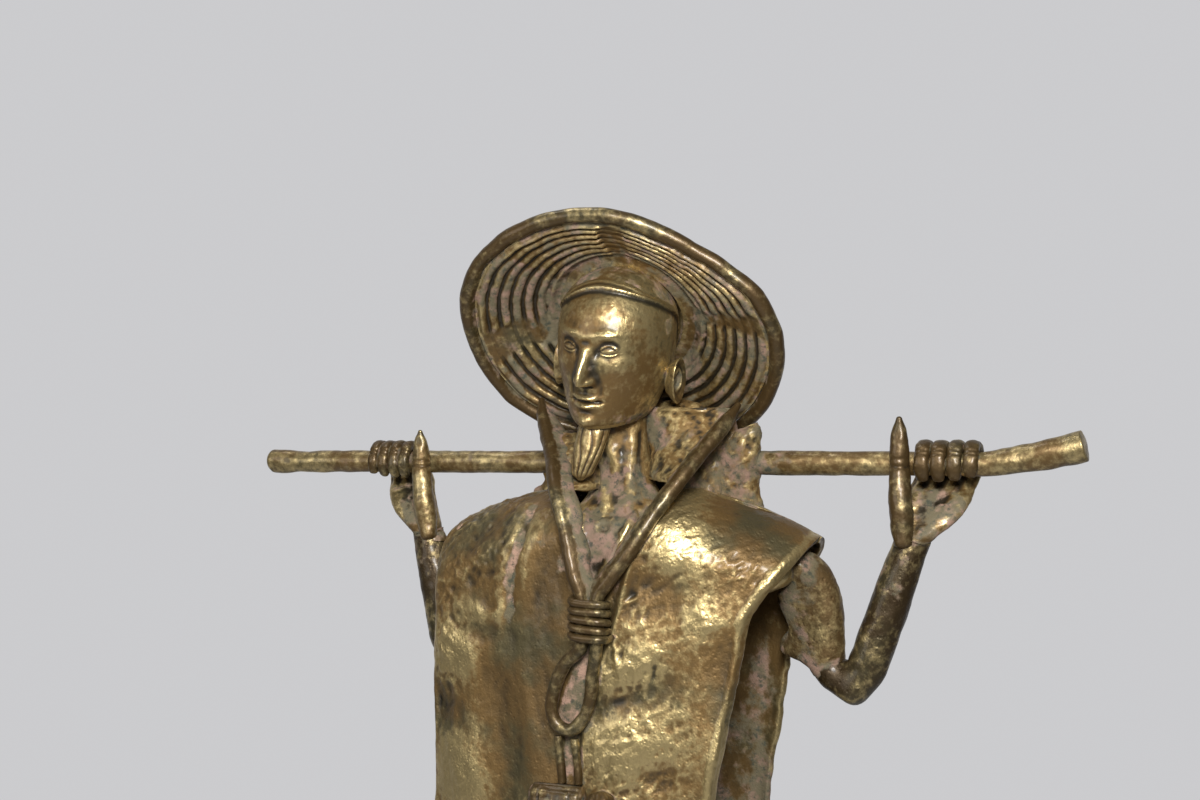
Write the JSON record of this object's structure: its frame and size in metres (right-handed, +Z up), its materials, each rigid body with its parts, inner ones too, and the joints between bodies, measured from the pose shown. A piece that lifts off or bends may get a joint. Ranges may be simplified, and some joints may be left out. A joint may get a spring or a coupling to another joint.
{
  "type": "metal figurine",
  "caption": "Slender cast brass figurine of a standing herder: wide tipped-back hat, open hammered tunic, stick held across the shoulders, on a flat base plate.",
  "frame": {"origin": "centre of the base plate's underside, on the surface it stands on", "axes": "+Z up; the figure faces -Y; +X is the figure's own left, so the stick runs along X"},
  "size_m": [0.1777, 0.064, 0.299],
  "materials": {
    "patinated_brass": "cast brass with an olive-brown patina, and pinkish clay left in its hollows",
    "worn_brass": "cast brass rubbed to soft gold on what stands out, browner in the folds",
    "dark_brass": "cast brass, dark brown, with a dull shine"
  },
  "bodies": {
    "root": {"base_plate": "dark_brass", "left_foot": "patinated_brass", "right_foot": "patinated_brass", "left_leg": "patinated_brass", "right_leg": "patinated_brass", "torso": "patinated_brass", "neck": "patinated_brass", "head": "patinated_brass", "left_ear": "patinated_brass", "right_ear": "patinated_brass", "beard": "worn_brass", "hat_brim": "patinated_brass", "hat_rim": "dark_brass", "hat_crown": "patinated_brass", "tunic_front": "worn_brass", "tunic_back": "patinated_brass", "left_shoulder_lump": "patinated_brass", "right_shoulder_lump": "patinated_brass", "stick": "dark_brass", "left_upper_arm": "patinated_brass", "left_forearm": "dark_brass", "left_palm": "patinated_brass", "left_thumb": "worn_brass", "left_index_finger": "worn_brass", "left_middle_finger": "worn_brass", "left_ring_finger": "worn_brass", "left_little_finger": "worn_brass", "right_upper_arm": "patinated_brass", "right_forearm": "dark_brass", "right_palm": "patinated_brass", "right_thumb": "worn_brass", "right_index_finger": "worn_brass", "right_middle_finger": "worn_brass", "right_ring_finger": "worn_brass", "right_little_finger": "worn_brass", "left_hat_cord": "dark_brass", "right_hat_cord": "dark_brass", "cord_binding": "dark_brass", "cord_loop": "dark_brass", "left_pouch_string": "dark_brass", "right_pouch_string": "dark_brass", "pouch": "dark_brass", "small_pouch": "dark_brass"}
  },
  "joints": []
}
